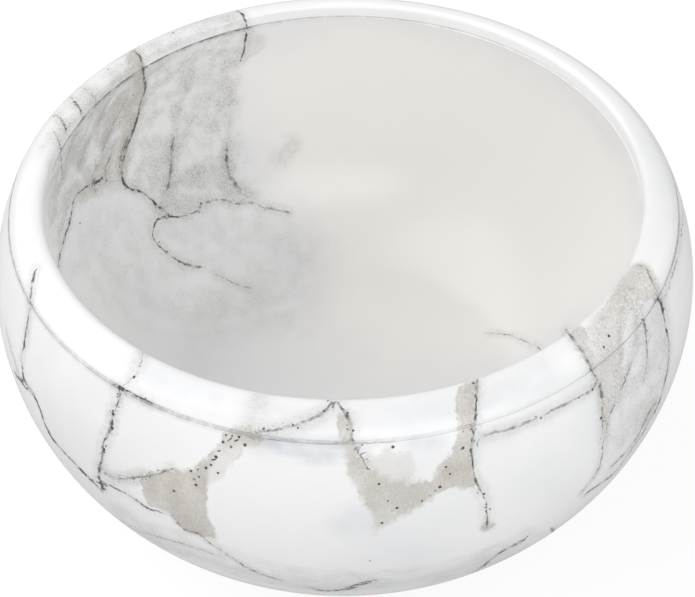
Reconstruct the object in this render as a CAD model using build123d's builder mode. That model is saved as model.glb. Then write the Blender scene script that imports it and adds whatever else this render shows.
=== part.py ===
from build123d import *
import math
import os

os.makedirs("parts", exist_ok=True)

# Sizes, all in millimetres.
# The frame: +Z is the turning axis, the origin is the centre of the plane the dish stands on.

# Bowl, turned from one block of stone
bowl_diameter = 102.0        # over the widest part of the belly
bowl_height = 52.0           # from the flat base to the top of the lip
belly_height = 34.2          # widest part, above the flat base
base_inset = 25.0            # flat base, in from the widest part
base_roll_radius = 12.0      # roll from the flat base into the belly
wall_thickness = 5.2         # through the side at the widest part
floor_thickness = 6.5        # through the middle of the bottom
floor_inset = 20.8           # flat floor, in from the widest part of the hollow
floor_roll_radius = 13.0     # roll from the floor into the wall

# Rolled lip, set off by a fine line turned outside and inside
lip_inset = 4.0              # outer line, in from the widest part
lip_width = 5.0              # from the outer line to the inner line
lip_height = 2.4             # top of the lip above the two lines
lip_edge_radius = 0.7        # inner edge of the lip
line_depth = 0.35            # how deep the two lines are cut

# Self-adhesive bumpers under the base
bumper_count = 4
bumper_diameter = 9.5
bumper_height = 1.25
bumper_edge = 0.4            # bevel round the face it stands on
bumper_inset = 4.25          # edge of a bumper, in from the edge of the flat base
first_bumper_angle = 45.0    # degrees from +X
adhesive_diameter = 8.5
adhesive_thickness = 0.25

# Heights worked out from the sizes above
base_z = bumper_height + adhesive_thickness
floor_z = base_z + floor_thickness
belly_z = base_z + belly_height
top_z = base_z + bowl_height
line_z = top_z - lip_height

# Radii worked out from the sizes above
belly_radius = bowl_diameter / 2
hollow_radius = belly_radius - wall_thickness
base_radius = belly_radius - base_inset
floor_radius = hollow_radius - floor_inset
lip_outer_radius = belly_radius - lip_inset
lip_inner_radius = lip_outer_radius - lip_width
lip_top_radius = lip_inner_radius + lip_edge_radius
bumper_circle_radius = base_radius - bumper_inset - bumper_diameter / 2


def roll_end(flat_radius, flat_z, roll_radius, widest_radius):
    """Point where the roll off a flat meets the large arc that is upright at the belly."""
    reach = widest_radius - flat_radius
    rise = belly_z - flat_z - roll_radius
    large_radius = (reach**2 + rise**2 - roll_radius**2) / (2 * (reach - roll_radius))
    large_centre = Vector(widest_radius - large_radius, belly_z)
    roll_centre = Vector(flat_radius, flat_z + roll_radius)
    return large_centre + (roll_centre - large_centre).normalized() * large_radius


# Marble bowl: the section runs up the outside, over the lip and down the inside
with BuildPart() as marble_bowl:
    with BuildSketch(Plane.XZ):
        with BuildLine():
            # Flat base, its roll, the belly and the shoulder up to the lip
            Line((0, base_z), (base_radius, base_z))
            base_roll_end = roll_end(base_radius, base_z, base_roll_radius, belly_radius)
            TangentArc((base_radius, base_z), base_roll_end, tangent=(1, 0))
            TangentArc((belly_radius, belly_z), base_roll_end, tangent=(0, -1))
            TangentArc((belly_radius, belly_z), (lip_outer_radius, line_z), tangent=(0, 1))
            # Lip: a long low crown that falls outwards, and a small roll inwards
            TangentArc((lip_top_radius, top_z), (lip_outer_radius, line_z), tangent=(1, 0))
            lip_edge_foot = (lip_inner_radius, top_z - lip_edge_radius)
            TangentArc((lip_top_radius, top_z), lip_edge_foot, tangent=(-1, 0))
            Line(lip_edge_foot, (lip_inner_radius, line_z))
            # Hollow: undercut below the lip, then the wall, its roll and the flat floor
            TangentArc((hollow_radius, belly_z), (lip_inner_radius, line_z), tangent=(0, 1))
            floor_roll_end = roll_end(floor_radius, floor_z, floor_roll_radius, hollow_radius)
            TangentArc((hollow_radius, belly_z), floor_roll_end, tangent=(0, -1))
            TangentArc((floor_radius, floor_z), floor_roll_end, tangent=(1, 0))
            Line((floor_radius, floor_z), (0, floor_z))
            Line((0, floor_z), (0, base_z))
        make_face()
    revolve(axis=Axis.Z)

    # The two fine lines, cut with the corner of a square tool
    with BuildSketch(Plane.XZ):
        with Locations((lip_outer_radius, line_z), (lip_inner_radius, line_z)):
            Rectangle(line_depth * math.sqrt(2), line_depth * math.sqrt(2), rotation=45)
    revolve(axis=Axis.Z, mode=Mode.SUBTRACT)

marble_bowl.part.label = "marble_bowl"
export_step(marble_bowl.part, "parts/marble_bowl.step")

# Bumpers, each stuck to the base by its own disc of adhesive
for number in range(1, bumper_count + 1):
    angle = math.radians(first_bumper_angle + 360 / bumper_count * (number - 1))
    centre = (
        bumper_circle_radius * math.cos(angle),
        bumper_circle_radius * math.sin(angle),
    )

    with BuildPart() as bumper:
        with BuildSketch(Plane.XY):
            with Locations(centre):
                Circle(bumper_diameter / 2)
        extrude(amount=bumper_height)
        chamfer(bumper.edges().group_by(Axis.Z)[0], bumper_edge)
    bumper.part.label = f"bumper_{number}"
    export_step(bumper.part, f"parts/bumper_{number}.step")

    with BuildPart() as adhesive_disc:
        with BuildSketch(Plane.XY.offset(bumper_height)):
            with Locations(centre):
                Circle(adhesive_diameter / 2)
        extrude(amount=adhesive_thickness)
    adhesive_disc.part.label = f"adhesive_disc_{number}"
    export_step(adhesive_disc.part, f"parts/adhesive_disc_{number}.step")
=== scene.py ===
"""Looks of a turned marble ring dish: the veined bowl with its rolled lip, and its bumpers."""

import logging
import math
from dataclasses import dataclass, field, fields
from enum import Enum
from typing import Any, Sequence

import bpy
import numpy as np
from mathutils import Matrix, Vector
from mathutils.bvhtree import BVHTree


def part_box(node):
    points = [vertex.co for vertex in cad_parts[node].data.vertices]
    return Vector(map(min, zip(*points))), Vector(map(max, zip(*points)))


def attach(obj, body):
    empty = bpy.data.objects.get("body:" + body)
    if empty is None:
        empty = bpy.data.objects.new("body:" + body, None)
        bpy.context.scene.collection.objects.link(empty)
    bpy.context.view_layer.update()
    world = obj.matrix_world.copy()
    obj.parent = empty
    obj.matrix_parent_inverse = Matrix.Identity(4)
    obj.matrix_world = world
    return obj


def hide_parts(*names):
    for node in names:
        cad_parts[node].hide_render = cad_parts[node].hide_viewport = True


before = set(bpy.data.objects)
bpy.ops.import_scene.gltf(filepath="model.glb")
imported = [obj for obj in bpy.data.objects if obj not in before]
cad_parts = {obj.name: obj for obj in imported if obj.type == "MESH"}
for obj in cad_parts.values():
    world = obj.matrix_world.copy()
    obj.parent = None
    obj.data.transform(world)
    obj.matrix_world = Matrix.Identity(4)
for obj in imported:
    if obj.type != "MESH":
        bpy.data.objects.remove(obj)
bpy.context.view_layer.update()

log = logging.getLogger("ring_dish")

MM = 0.001
ROOT = "root"
PHOTO_WIDTH = 695
PHOTO_HEIGHT = 597
DOT_LAYERS = 3

Pair = tuple[float, float]
Colour = tuple[float, float, float]
WHITE: Colour = (1.0, 1.0, 1.0)


@dataclass
class PhotoView:
    """Where the photograph was taken from, found from the outline and the two lip lines."""

    elevation: float = 44.85
    roll: float = -0.75
    focal_px: float = 1399.0
    distance: float = 233.92 * MM
    slide_right: float = -0.13 * MM
    slide_up: float = 19.69 * MM
    centre_px: Pair = (343.85, 293.28)
    sensor: float = 36.0
    nearest: float = 10 * MM

    def __post_init__(self) -> None:
        """Work out the camera's place and its right, up and back directions."""
        tilt, roll = math.radians(self.elevation), math.radians(self.roll)
        right = Vector((1, 0, 0))
        up = Vector((0, math.sin(tilt), math.cos(tilt)))
        self.back = Vector((0, -math.cos(tilt), math.sin(tilt)))
        base = Vector((0, 0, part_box("marble_bowl")[0].z))
        self.place = base + self.back * self.distance + right * self.slide_right + up * self.slide_up
        self.across = right * math.cos(roll) + up * math.sin(roll)
        self.upward = up * math.cos(roll) - right * math.sin(roll)

    def ray(self, pixel: Pair) -> Vector:
        """Work out the direction in which the camera sees a pixel.

        Args:
            pixel: Column and row in the photograph's frame.

        Returns:
            A unit vector from the camera.
        """
        step_right = (pixel[0] - self.centre_px[0]) / self.focal_px
        step_up = (self.centre_px[1] - pixel[1]) / self.focal_px
        return (self.across * step_right + self.upward * step_up - self.back).normalized()

    def build(self) -> bpy.types.Object:
        """Add the camera to the scene.

        Returns:
            The camera.
        """
        data = bpy.data.cameras.new("photo_camera")
        data.sensor_width = self.sensor
        data.lens = self.focal_px * self.sensor / PHOTO_WIDTH
        data.shift_x = (PHOTO_WIDTH / 2 - self.centre_px[0]) / PHOTO_WIDTH
        data.shift_y = (self.centre_px[1] - PHOTO_HEIGHT / 2) / PHOTO_WIDTH
        data.clip_start = self.nearest
        camera = bpy.data.objects.new("photo_camera", data)
        turn = Matrix((self.across, self.upward, self.back)).transposed().to_4x4()
        camera.matrix_world = Matrix.Translation(self.place) @ turn
        bpy.context.scene.collection.objects.link(camera)
        bpy.context.scene.camera = camera
        return camera


@dataclass(frozen=True)
class Lead:
    """A smooth lead from start to end, as a value goes from low to high."""

    low: float
    high: float
    start: float = 0.0
    end: float = 1.0


@dataclass(frozen=True)
class Mottle(Lead):
    """A noise that is led from start to end, with its scale per millimetre."""

    scale: float = 1.0
    detail: float = 2.0
    lift: float = 0.0


@dataclass(frozen=True)
class Sway:
    """A noise that swings about zero, by up to half its reach."""

    scale: float
    reach: float
    detail: float = 2.0
    lift: float = 0.0


class Wiring:
    """Short ways to add the nodes of one tree and wire them."""

    def __init__(self, tree: bpy.types.NodeTree) -> None:
        """Keep the tree that the nodes go into."""
        self.tree = tree

    def put(self, socket: bpy.types.NodeSocket, value: Any) -> None:
        """Link a socket to another, or set its value.

        Args:
            socket: The input.
            value: An output to link it to, or its value.
        """
        if isinstance(value, bpy.types.NodeSocket):
            self.tree.links.new(value, socket)
        elif socket.type == "RGBA" and len(value) == 3:
            socket.default_value = (*value, 1.0)
        else:
            socket.default_value = value

    def add(self, kind: str, inputs: dict[Any, Any] | None = None, **settings: Any) -> Any:
        """Add a node.

        Args:
            kind: Blender's name of the node type.
            inputs: Values or sockets, by the input's name or number.
            **settings: Values of the node's own settings.

        Returns:
            The new node.
        """
        node = self.tree.nodes.new(kind)
        for name, value in settings.items():
            setattr(node, name, value)
        for name, value in (inputs or {}).items():
            self.put(node.inputs[name], value)
        return node

    def math(self, operation: str, *values: Any, clamp: bool = False) -> Any:
        """Return the result of a Math node."""
        inputs = dict(enumerate(values))
        return self.add("ShaderNodeMath", inputs, operation=operation, use_clamp=clamp).outputs[0]

    def times(self, first: Any, second: Any, clamp: bool = False) -> Any:
        """Return the product of two values."""
        return self.math("MULTIPLY", first, second, clamp=clamp)

    def ramp(self, value: Any, low: Any, high: Any, start: float = 0, end: float = 1) -> Any:
        """Return a value led smoothly from start to end as it goes from low to high."""
        inputs = {"Value": value, "From Min": low, "From Max": high, "To Min": start, "To Max": end}
        return self.add("ShaderNodeMapRange", inputs, interpolation_type="SMOOTHSTEP").outputs[0]

    def led(self, value: Any, lead: Lead) -> Any:
        """Return a value led as a lead says."""
        return self.ramp(value, lead.low, lead.high, lead.start, lead.end)

    def mix(self, factor: Any, first: Any, second: Any) -> Any:
        """Return the colour between two colours."""
        return self.add("ShaderNodeMix", {0: factor, 6: first, 7: second}, data_type="RGBA").outputs[2]

    def noise(self, place: Any, scale: Any, detail: float = 2, lift: float = 0) -> Any:
        """Add a noise.

        Args:
            place: Where on the piece it is read.
            scale: Its scale.
            detail: How many finer layers it has.
            lift: How far its pattern is moved up, so that no two agree.

        Returns:
            The socket of its value.
        """
        moved = self.add("ShaderNodeVectorMath", {0: place, 1: (0, 0, lift)}, operation="ADD")
        inputs = {"Vector": moved.outputs[0], "Scale": scale, "Detail": detail}
        return self.add("ShaderNodeTexNoise", inputs).outputs[0]

    def mottle(self, place: Any, mottle: Mottle) -> Any:
        """Return the value of a mottle."""
        return self.led(self.noise(place, mottle.scale, mottle.detail, mottle.lift), mottle)

    def wander(self, place: Any, slow: Sway, fast: Sway) -> Any:
        """Add a value that wanders about zero.

        Args:
            place: Where on the piece it is read.
            slow: The long swings.
            fast: The short swings.

        Returns:
            The socket of the value.
        """
        swings = []
        for sway in (slow, fast):
            noise = self.noise(place, sway.scale, sway.detail, sway.lift)
            swings.append(self.math("SUBTRACT", noise, 0.5))
        return self.math("MULTIPLY_ADD", swings[0], slow.reach, self.times(swings[1], fast.reach))

    def parts(self, attribute: str) -> Sequence[bpy.types.NodeSocket]:
        """Return the three parts of a vector that the mesh holds."""
        node = self.add("ShaderNodeAttribute", attribute_name=attribute)
        return self.add("ShaderNodeSeparateXYZ", {0: node.outputs["Vector"]}).outputs


class Group:
    """A node group under construction, with named inputs and outputs."""

    def __init__(self, name: str, kind: str = "ShaderNodeTree") -> None:
        """Start an empty group of the given tree type."""
        self.tree = bpy.data.node_groups.new(name, kind)
        self.wiring = Wiring(self.tree)

    def take(self, name: str, socket: str, value: Any = None) -> str:
        """Add an input.

        Args:
            name: Its name.
            socket: Its socket type.
            value: Its value where nothing else is given.

        Returns:
            Its identifier.
        """
        item = self.tree.interface.new_socket(name, in_out="INPUT", socket_type=socket)
        if value is not None:
            item.default_value = value
        return item.identifier

    def give(self, name: str, socket: str) -> None:
        """Add an output."""
        self.tree.interface.new_socket(name, in_out="OUTPUT", socket_type=socket)

    def open(self) -> Any:
        """Add the node of the inputs and return its sockets."""
        return self.wiring.add("NodeGroupInput").outputs

    def close(self, **results: Any) -> bpy.types.NodeTree:
        """Add the node of the outputs.

        Args:
            **results: The socket that each output gives, by the output's name.

        Returns:
            The finished tree.
        """
        self.wiring.add("NodeGroupOutput", results)
        return self.tree


@dataclass(frozen=True)
class StoneGrain:
    """The grain that the stone and the bumpers share, in millimetres."""

    cloud_scale: float = 0.05
    cloud_detail: float = 3.0
    grain_scale: float = 2.5
    grain_detail: float = 4.0
    grain_lift: float = 31.0
    pore_scale: float = 0.8
    pore_radius: float = 0.12
    pore_share: float = 0.3
    pore_least_share: float = 0.4
    pore_solid_share: float = 0.4

    def build(self) -> bpy.types.NodeTree:
        """Build the shader group.

        Returns:
            A group that gives a soft cloud, a fine grain and scattered pores.
        """
        group = Group("stone_grain")
        group.take("Place", "NodeSocketVector")
        group.take("Cloud Scale", "NodeSocketFloat", self.cloud_scale)
        group.take("Grain Scale", "NodeSocketFloat", self.grain_scale)
        group.take("Pore Scale", "NodeSocketFloat", self.pore_scale)
        group.take("Pore Radius", "NodeSocketFloat", self.pore_radius)
        group.take("Pore Share", "NodeSocketFloat", self.pore_share)
        for name in ("Cloud", "Grain", "Pores"):
            group.give(name, "NodeSocketFloat")
        given = group.open()
        wire = group.wiring
        place = given["Place"]
        cloud = wire.noise(place, given["Cloud Scale"], self.cloud_detail)
        grain = wire.noise(place, given["Grain Scale"], self.grain_detail, self.grain_lift)
        cells = wire.add("ShaderNodeTexVoronoi", {"Vector": place, "Scale": given["Pore Scale"]})
        chosen = wire.add("ShaderNodeSeparateXYZ", {0: cells.outputs["Color"]}).outputs
        kept = wire.math("LESS_THAN", chosen[0], given["Pore Share"])
        reach = wire.times(given["Pore Radius"], wire.math("ADD", chosen[1], self.pore_least_share))
        radius = wire.times(reach, given["Pore Scale"])
        edge = wire.ramp(cells.outputs["Distance"], radius, wire.times(radius, self.pore_solid_share))
        return group.close(Cloud=cloud, Grain=grain, Pores=wire.times(edge, kept))


class Dressing:
    """A material under construction, with its shader, places in millimetres and the shared grain."""

    def __init__(self, name: str, grain: bpy.types.NodeTree, cloud_scale: float, grain_scale: float) -> None:
        """Start the material.

        Args:
            name: Its name.
            grain: The shared grain group.
            cloud_scale: Scale of the grain's clouds, per millimetre.
            grain_scale: Scale of the fine grain, per millimetre.
        """
        self.material = bpy.data.materials.new(name)
        self.material.use_nodes = True
        self.wire = Wiring(self.material.node_tree)
        self.shader = self.material.node_tree.nodes["Principled BSDF"]
        where = self.wire.add("ShaderNodeTexCoord").outputs["Object"]
        inputs = {0: where, "Scale": 1 / MM}
        self.place = self.wire.add("ShaderNodeVectorMath", inputs, operation="SCALE").outputs[0]
        inputs = {"Place": self.place, "Cloud Scale": cloud_scale, "Grain Scale": grain_scale}
        mineral = self.wire.add("ShaderNodeGroup", inputs, node_tree=grain)
        self.cloud, self.fine, self.pores = mineral.outputs

    def bump(self, height: Any, strength: float, depth: float) -> None:
        """Give the surface a relief.

        Args:
            height: The socket of its height.
            strength: Its strength.
            depth: Its depth in metres.
        """
        inputs = {"Strength": strength, "Distance": depth, "Height": height}
        relief = self.wire.add("ShaderNodeBump", inputs).outputs[0]
        self.wire.put(self.shader.inputs["Normal"], relief)

    def settle(self, **values: Any) -> None:
        """Set or link inputs of the shader, by their names with _ for a space."""
        for name, value in values.items():
            self.wire.put(self.shader.inputs[name.replace("_", " ")], value)


@dataclass(frozen=True)
class CrackLook:
    """Broken dark lines strung with beads, and the grey halo beside them, in millimetres."""

    slow: Sway = Sway(0.35, 0.75, lift=7)
    fast: Sway = Sway(1.6, 0.45, lift=17)
    swell: Mottle = Mottle(0.35, 0.65, 0.6, 1.7, scale=0.30, lift=53)
    grains: Mottle = Mottle(0.36, 0.64, 0.25, 1.6, scale=1.0, detail=5, lift=71)
    dust: Mottle = Mottle(0.36, 0.66, 0.25, 1.0, scale=1.3, detail=4, lift=91)
    soft_share: float = 1.6
    solid_share: float = 0.3
    line_end: Lead = Lead(0.80, 0.45)
    bead_scale: float = 1.7
    bead_share: float = 0.45
    bead_spread: float = 0.26
    bead_least: float = 0.16
    bead_solid_share: float = 0.5
    bead_end: Lead = Lead(0.75, 0.35)
    halo_end: Lead = Lead(1.7, 0.0)

    def masks(self, wire: Wiring, place: Any) -> tuple[Any, Any]:
        """Wire the cracks that the mesh holds.

        Args:
            wire: The material's tree.
            place: Object coordinates in millimetres.

        Returns:
            The mask of the dark lines and the mask of the grey halo beside them.
        """
        side, distance, width = wire.parts("crack_line")
        dark, halo, _ = wire.parts("crack_tone")
        offset = wire.math("ABSOLUTE", wire.math("ADD", side, wire.wander(place, self.slow, self.fast)))
        half = wire.times(width, wire.mottle(place, self.swell))
        core = wire.ramp(offset, wire.times(half, self.soft_share), wire.times(half, self.solid_share))
        line = wire.times(wire.times(core, wire.led(distance, self.line_end)), dark)
        line = wire.times(line, wire.mottle(place, self.grains), clamp=True)
        cells = wire.add("ShaderNodeTexVoronoi", {"Vector": place, "Scale": self.bead_scale})
        chosen = wire.add("ShaderNodeSeparateXYZ", {0: cells.outputs["Color"]}).outputs
        kept = wire.math("LESS_THAN", chosen[0], wire.times(dark, self.bead_share))
        size = wire.math("MULTIPLY_ADD", chosen[1], self.bead_spread, self.bead_least)
        bead = wire.ramp(cells.outputs["Distance"], size, wire.times(size, self.bead_solid_share))
        bead = wire.times(bead, wire.led(distance, self.bead_end))
        line = wire.math("MAXIMUM", line, wire.times(bead, kept))
        wide = wire.times(wire.led(distance, self.halo_end), wire.mottle(place, self.dust))
        return line, wire.times(wide, halo)


@dataclass(frozen=True)
class PatchLook:
    """Taupe patches with a ragged edge and a broken line round it, in millimetres."""

    slow: Sway = Sway(0.30, 1.6, detail=4, lift=5)
    fast: Sway = Sway(1.8, 1.1, detail=4, lift=47)
    broken: Mottle = Mottle(0.46, 0.62, scale=0.45, detail=5, lift=37)
    outline: Lead = Lead(0.3, 0.0)

    def masks(self, wire: Wiring, place: Any) -> tuple[Any, Any]:
        """Wire the patches that the mesh holds.

        Args:
            wire: The material's tree.
            place: Object coordinates in millimetres.

        Returns:
            The mask of the patches and the mask of the broken line round them.
        """
        inside, tone, fade = wire.parts("taupe_patch")
        depth = wire.math("ADD", inside, wire.wander(place, self.slow, self.fast))
        edge = wire.ramp(depth, wire.times(fade, -1.0), fade)
        outline = wire.led(wire.math("ABSOLUTE", depth), self.outline)
        outline = wire.times(outline, wire.mottle(place, self.broken))
        return wire.times(edge, tone), wire.times(outline, tone)


@dataclass(frozen=True)
class DotLook:
    """Round black dots, which the mesh holds in layers, in millimetres."""

    solid_share: float = 0.55
    end: Lead = Lead(0.95, 0.65)

    def mask(self, wire: Wiring) -> Any:
        """Wire the dots.

        Args:
            wire: The material's tree.

        Returns:
            The mask of the dots.
        """
        mask = 0.0
        for layer in range(DOT_LAYERS):
            held = wire.add("ShaderNodeAttribute", attribute_name=f"dot_offset_{layer}")
            inputs = {0: held.outputs["Vector"]}
            away = wire.add("ShaderNodeVectorMath", inputs, operation="LENGTH").outputs["Value"]
            distance, radius, _ = wire.parts(f"dot_size_{layer}")
            spot = wire.ramp(away, radius, wire.times(radius, self.solid_share))
            mask = wire.math("MAXIMUM", mask, wire.times(spot, wire.led(distance, self.end)))
        return mask


@dataclass(frozen=True)
class MarbleFinish:
    """Polished white marble with taupe veins and patches, dark cracks and pores, and some painted shade and
    painted light.
    """

    white: Colour = (0.880, 0.882, 0.884)
    # Warm white of the warm hazes; on the lit back and right of the hollow it is painted light.
    cream_and_light: Colour = (0.945, 0.919, 0.892)
    cool: Colour = (0.770, 0.780, 0.800)
    veil: Colour = (0.47, 0.462, 0.44)
    # Bluish veins, and the painted shade on the front of the lip and low on the belly.
    cool_veil_and_shade: Colour = (0.56, 0.575, 0.625)
    # Greyish hazes, and the painted shade low on the belly and in the hollow.
    haze_and_shade: Colour = (0.60, 0.60, 0.585)
    grit: Colour = (0.33, 0.32, 0.30)
    taupe: Colour = (0.535, 0.505, 0.460)
    pale_taupe: Colour = (0.650, 0.630, 0.592)
    crack: Colour = (0.055, 0.056, 0.060)
    # Painted shade that darkens the two fine lines beside the lip.
    crease_shade: Colour = (0.14, 0.14, 0.145)
    cracks: CrackLook = CrackLook()
    patches: PatchLook = PatchLook()
    dots: DotLook = DotLook()
    cloud_scale: float = 0.045
    grain_scale: float = 3.6
    cloudy: Lead = Lead(0.44, 0.72, 0.0, 0.55)
    smoke: Mottle = Mottle(0.28, 0.72, 0.45, 1.25, scale=0.7, detail=5, lift=23)
    drift: Mottle = Mottle(0.34, 0.66, 0.25, 1.2, scale=0.30, detail=9, lift=83)
    even: Mottle = Mottle(0.3, 0.7, 0.65, 1.1, scale=0.35, detail=3, lift=29)
    blotches: Mottle = Mottle(0.35, 0.7, scale=0.22, detail=4, lift=61)
    # Breaks up the painted shade in the fine lines.
    broken_crease_shade: Mottle = Mottle(0.32, 0.62, 0.45, 1.15, scale=0.9, detail=4, lift=13)
    outline_strength: float = 0.45
    halo_strength: float = 0.75
    patch_grain: float = -0.55
    haze_grain: float = 1.4
    dark_grain: Lead = Lead(0.50, 0.66)
    dark_strength: float = 0.46
    light_grain: Lead = Lead(0.47, 0.33)
    light_strength: float = 0.50
    pitted: Lead = Lead(0.4, 0.9, 0.0, 0.7)
    gloss: float = 0.24
    busy_roughness: float = 0.10
    dark_roughness: float = 0.25
    grain_relief: float = 0.06
    relief_strength: float = 0.6
    relief: float = 0.05 * MM
    ior: float = 1.5
    glow_weight: float = 0.06
    glow_reach: Colour = (1.0, 0.95, 0.9)
    glow_scale: float = 1.2 * MM

    def stone(self, made: Dressing) -> tuple[Any, Any, Any]:
        """Wire the white stone with its clouds, hazes and soft veins, with painted shade and painted light
        among them.

        Args:
            made: The material under construction.

        Returns:
            The colour, the mask of the soft veins and the mask of the hazes, which holds some painted shade.
        """
        wire, place = made.wire, made.place
        veil_held, cool_and_shade_held, haze_and_shade_held = wire.parts("veils_and_shade")
        veil = wire.times(veil_held, wire.mottle(place, self.smoke), clamp=True)
        haze_and_shade = wire.times(haze_and_shade_held, wire.mottle(place, self.drift), clamp=True)
        cool = wire.times(cool_and_shade_held, wire.mottle(place, self.even), clamp=True)
        body = wire.mix(wire.led(made.cloud, self.cloudy), self.white, self.cool)
        # Warm white: partly the stone's tone, partly painted light on the lit back and right of the hollow.
        body = wire.mix(wire.parts("crack_tone")[2], body, self.cream_and_light)
        # Bluish veins and greyish hazes, some of them painted shade on the lip, the low belly and the
        # hollow.
        body = wire.mix(cool, wire.mix(haze_and_shade, body, self.haze_and_shade), self.cool_veil_and_shade)
        return wire.mix(veil, body, self.veil), veil, haze_and_shade

    def grained(self, made: Dressing, body: Any, amount: Any) -> Any:
        """Wire dark and light grains into the stone.

        Args:
            made: The material under construction.
            body: The colour so far.
            amount: How grainy the stone is.

        Returns:
            The colour with its grains.
        """
        wire = made.wire
        dark = wire.times(wire.led(made.fine, self.dark_grain), wire.times(amount, self.dark_strength))
        light = wire.times(wire.led(made.fine, self.light_grain), wire.times(amount, self.light_strength))
        return wire.mix(light, wire.mix(dark, body, self.grit), self.white)

    def polished(self, made: Dressing, body: Any) -> Any:
        """Wire painted shade into the two fine lines beside the lip.

        Args:
            made: The material under construction.
            body: The colour so far.

        Returns:
            The colour with the painted shade.
        """
        wire = made.wire
        # Painted shade in the fine lines, by the strength stored for each degree round, broken up by a
        # noise.
        held = wire.add("ShaderNodeAttribute", attribute_name="crease").outputs["Fac"]
        left = wire.times(held, wire.mottle(made.place, self.broken_crease_shade), clamp=True)
        return wire.mix(left, body, self.crease_shade)

    def material(self, grain: bpy.types.NodeTree) -> bpy.types.Material:
        """Build the material.

        Args:
            grain: The shared grain group.

        Returns:
            The marble's material.
        """
        made = Dressing("veined_marble", grain, self.cloud_scale, self.grain_scale)
        wire, place = made.wire, made.place
        line, halo = self.cracks.masks(wire, place)
        patch, outline = self.patches.masks(wire, place)
        body, veil, haze_and_shade = self.stone(made)
        taupe = wire.mix(wire.mottle(place, self.blotches), self.taupe, self.pale_taupe)
        body = wire.mix(patch, body, taupe)
        body = wire.mix(wire.times(outline, self.outline_strength), body, self.grit)
        body = wire.mix(wire.times(halo, self.halo_strength), body, self.veil)
        busy = wire.math("ADD", wire.math("ADD", patch, veil), halo, clamp=True)
        coarse = wire.math("MULTIPLY_ADD", patch, self.patch_grain, busy)
        amount = wire.math("MULTIPLY_ADD", haze_and_shade, self.haze_grain, coarse, clamp=True)
        body = self.polished(made, self.grained(made, body, amount))
        pits = wire.times(made.pores, wire.led(busy, self.pitted))
        dark = wire.math("MAXIMUM", line, wire.math("MAXIMUM", self.dots.mask(wire), pits))
        rough = wire.math("MULTIPLY_ADD", busy, self.busy_roughness, self.gloss)
        made.settle(
            Base_Color=wire.mix(dark, body, self.crack),
            Roughness=wire.math("MULTIPLY_ADD", dark, self.dark_roughness, rough),
            IOR=self.ior,
            Subsurface_Weight=self.glow_weight,
            Subsurface_Radius=self.glow_reach,
            Subsurface_Scale=self.glow_scale,
        )
        sunk = wire.math("SUBTRACT", wire.times(made.fine, self.grain_relief), dark)
        made.bump(sunk, self.relief_strength, self.relief)
        return made.material


@dataclass(frozen=True)
class BumperFinish:
    """A matt, faintly mottled finish, for the bumpers' rubber and for the adhesive film."""

    name: str
    light: Colour
    shade: Colour
    roughness: float
    cloud_scale: float = 0.5
    grain_scale: float = 6.0
    worn: Pair = (0.3, 0.7)
    smoother: float = 0.08
    relief_strength: float = 0.3
    relief: float = 0.03 * MM

    def material(self, grain: bpy.types.NodeTree) -> bpy.types.Material:
        """Build the material.

        Args:
            grain: The shared grain group.

        Returns:
            The finish's material.
        """
        made = Dressing(self.name, grain, self.cloud_scale, self.grain_scale)
        rough = made.wire.ramp(made.fine, *self.worn, self.roughness - self.smoother, self.roughness)
        made.settle(Base_Color=made.wire.mix(made.cloud, self.light, self.shade), Roughness=rough)
        made.bump(made.fine, self.relief_strength, self.relief)
        return made.material


RUBBER = BumperFinish("bumper_rubber", (0.64, 0.64, 0.62), (0.56, 0.56, 0.55), roughness=0.62)
FILM = BumperFinish("adhesive_film", (0.80, 0.79, 0.74), (0.74, 0.73, 0.68), roughness=0.42)


def tangent_arc(start: Pair, tangent: Pair, end: Pair, step: float) -> list[Pair]:
    """Work out an arc that leaves its start along a known direction.

    Args:
        start: First point of the arc.
        tangent: Unit direction at the first point.
        end: Last point of the arc.
        step: Longest distance between neighbouring points.

    Returns:
        The points after the start, up to the end.
    """
    begin = np.array(start)
    chord = np.array(end) - begin
    normal = np.array((-tangent[1], tangent[0]))
    radius = chord @ chord / (2 * chord @ normal)
    centre = begin + normal * radius
    first, last = (math.atan2(*(point - centre)[::-1]) for point in (begin, np.array(end)))
    sweep = math.remainder(last - first, 2 * math.pi)
    count = math.ceil(abs(radius * sweep) / step)
    turns = first + sweep * np.arange(1, count + 1) / count
    ring = centre + abs(radius) * np.stack((np.cos(turns), np.sin(turns)), -1)
    return [tuple(point) for point in ring]


def straight(start: Pair, end: Pair, step: float) -> list[Pair]:
    """Work out evenly spaced points of a straight line.

    Args:
        start: First point of the line.
        end: Last point of the line.
        step: Longest distance between neighbouring points.

    Returns:
        The points after the start, up to the end.
    """
    count = math.ceil(math.dist(start, end) / step)
    shares = np.arange(1, count + 1)[:, None] / count
    return [tuple(point) for point in np.array(start) + shares * (np.array(end) - np.array(start))]


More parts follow.
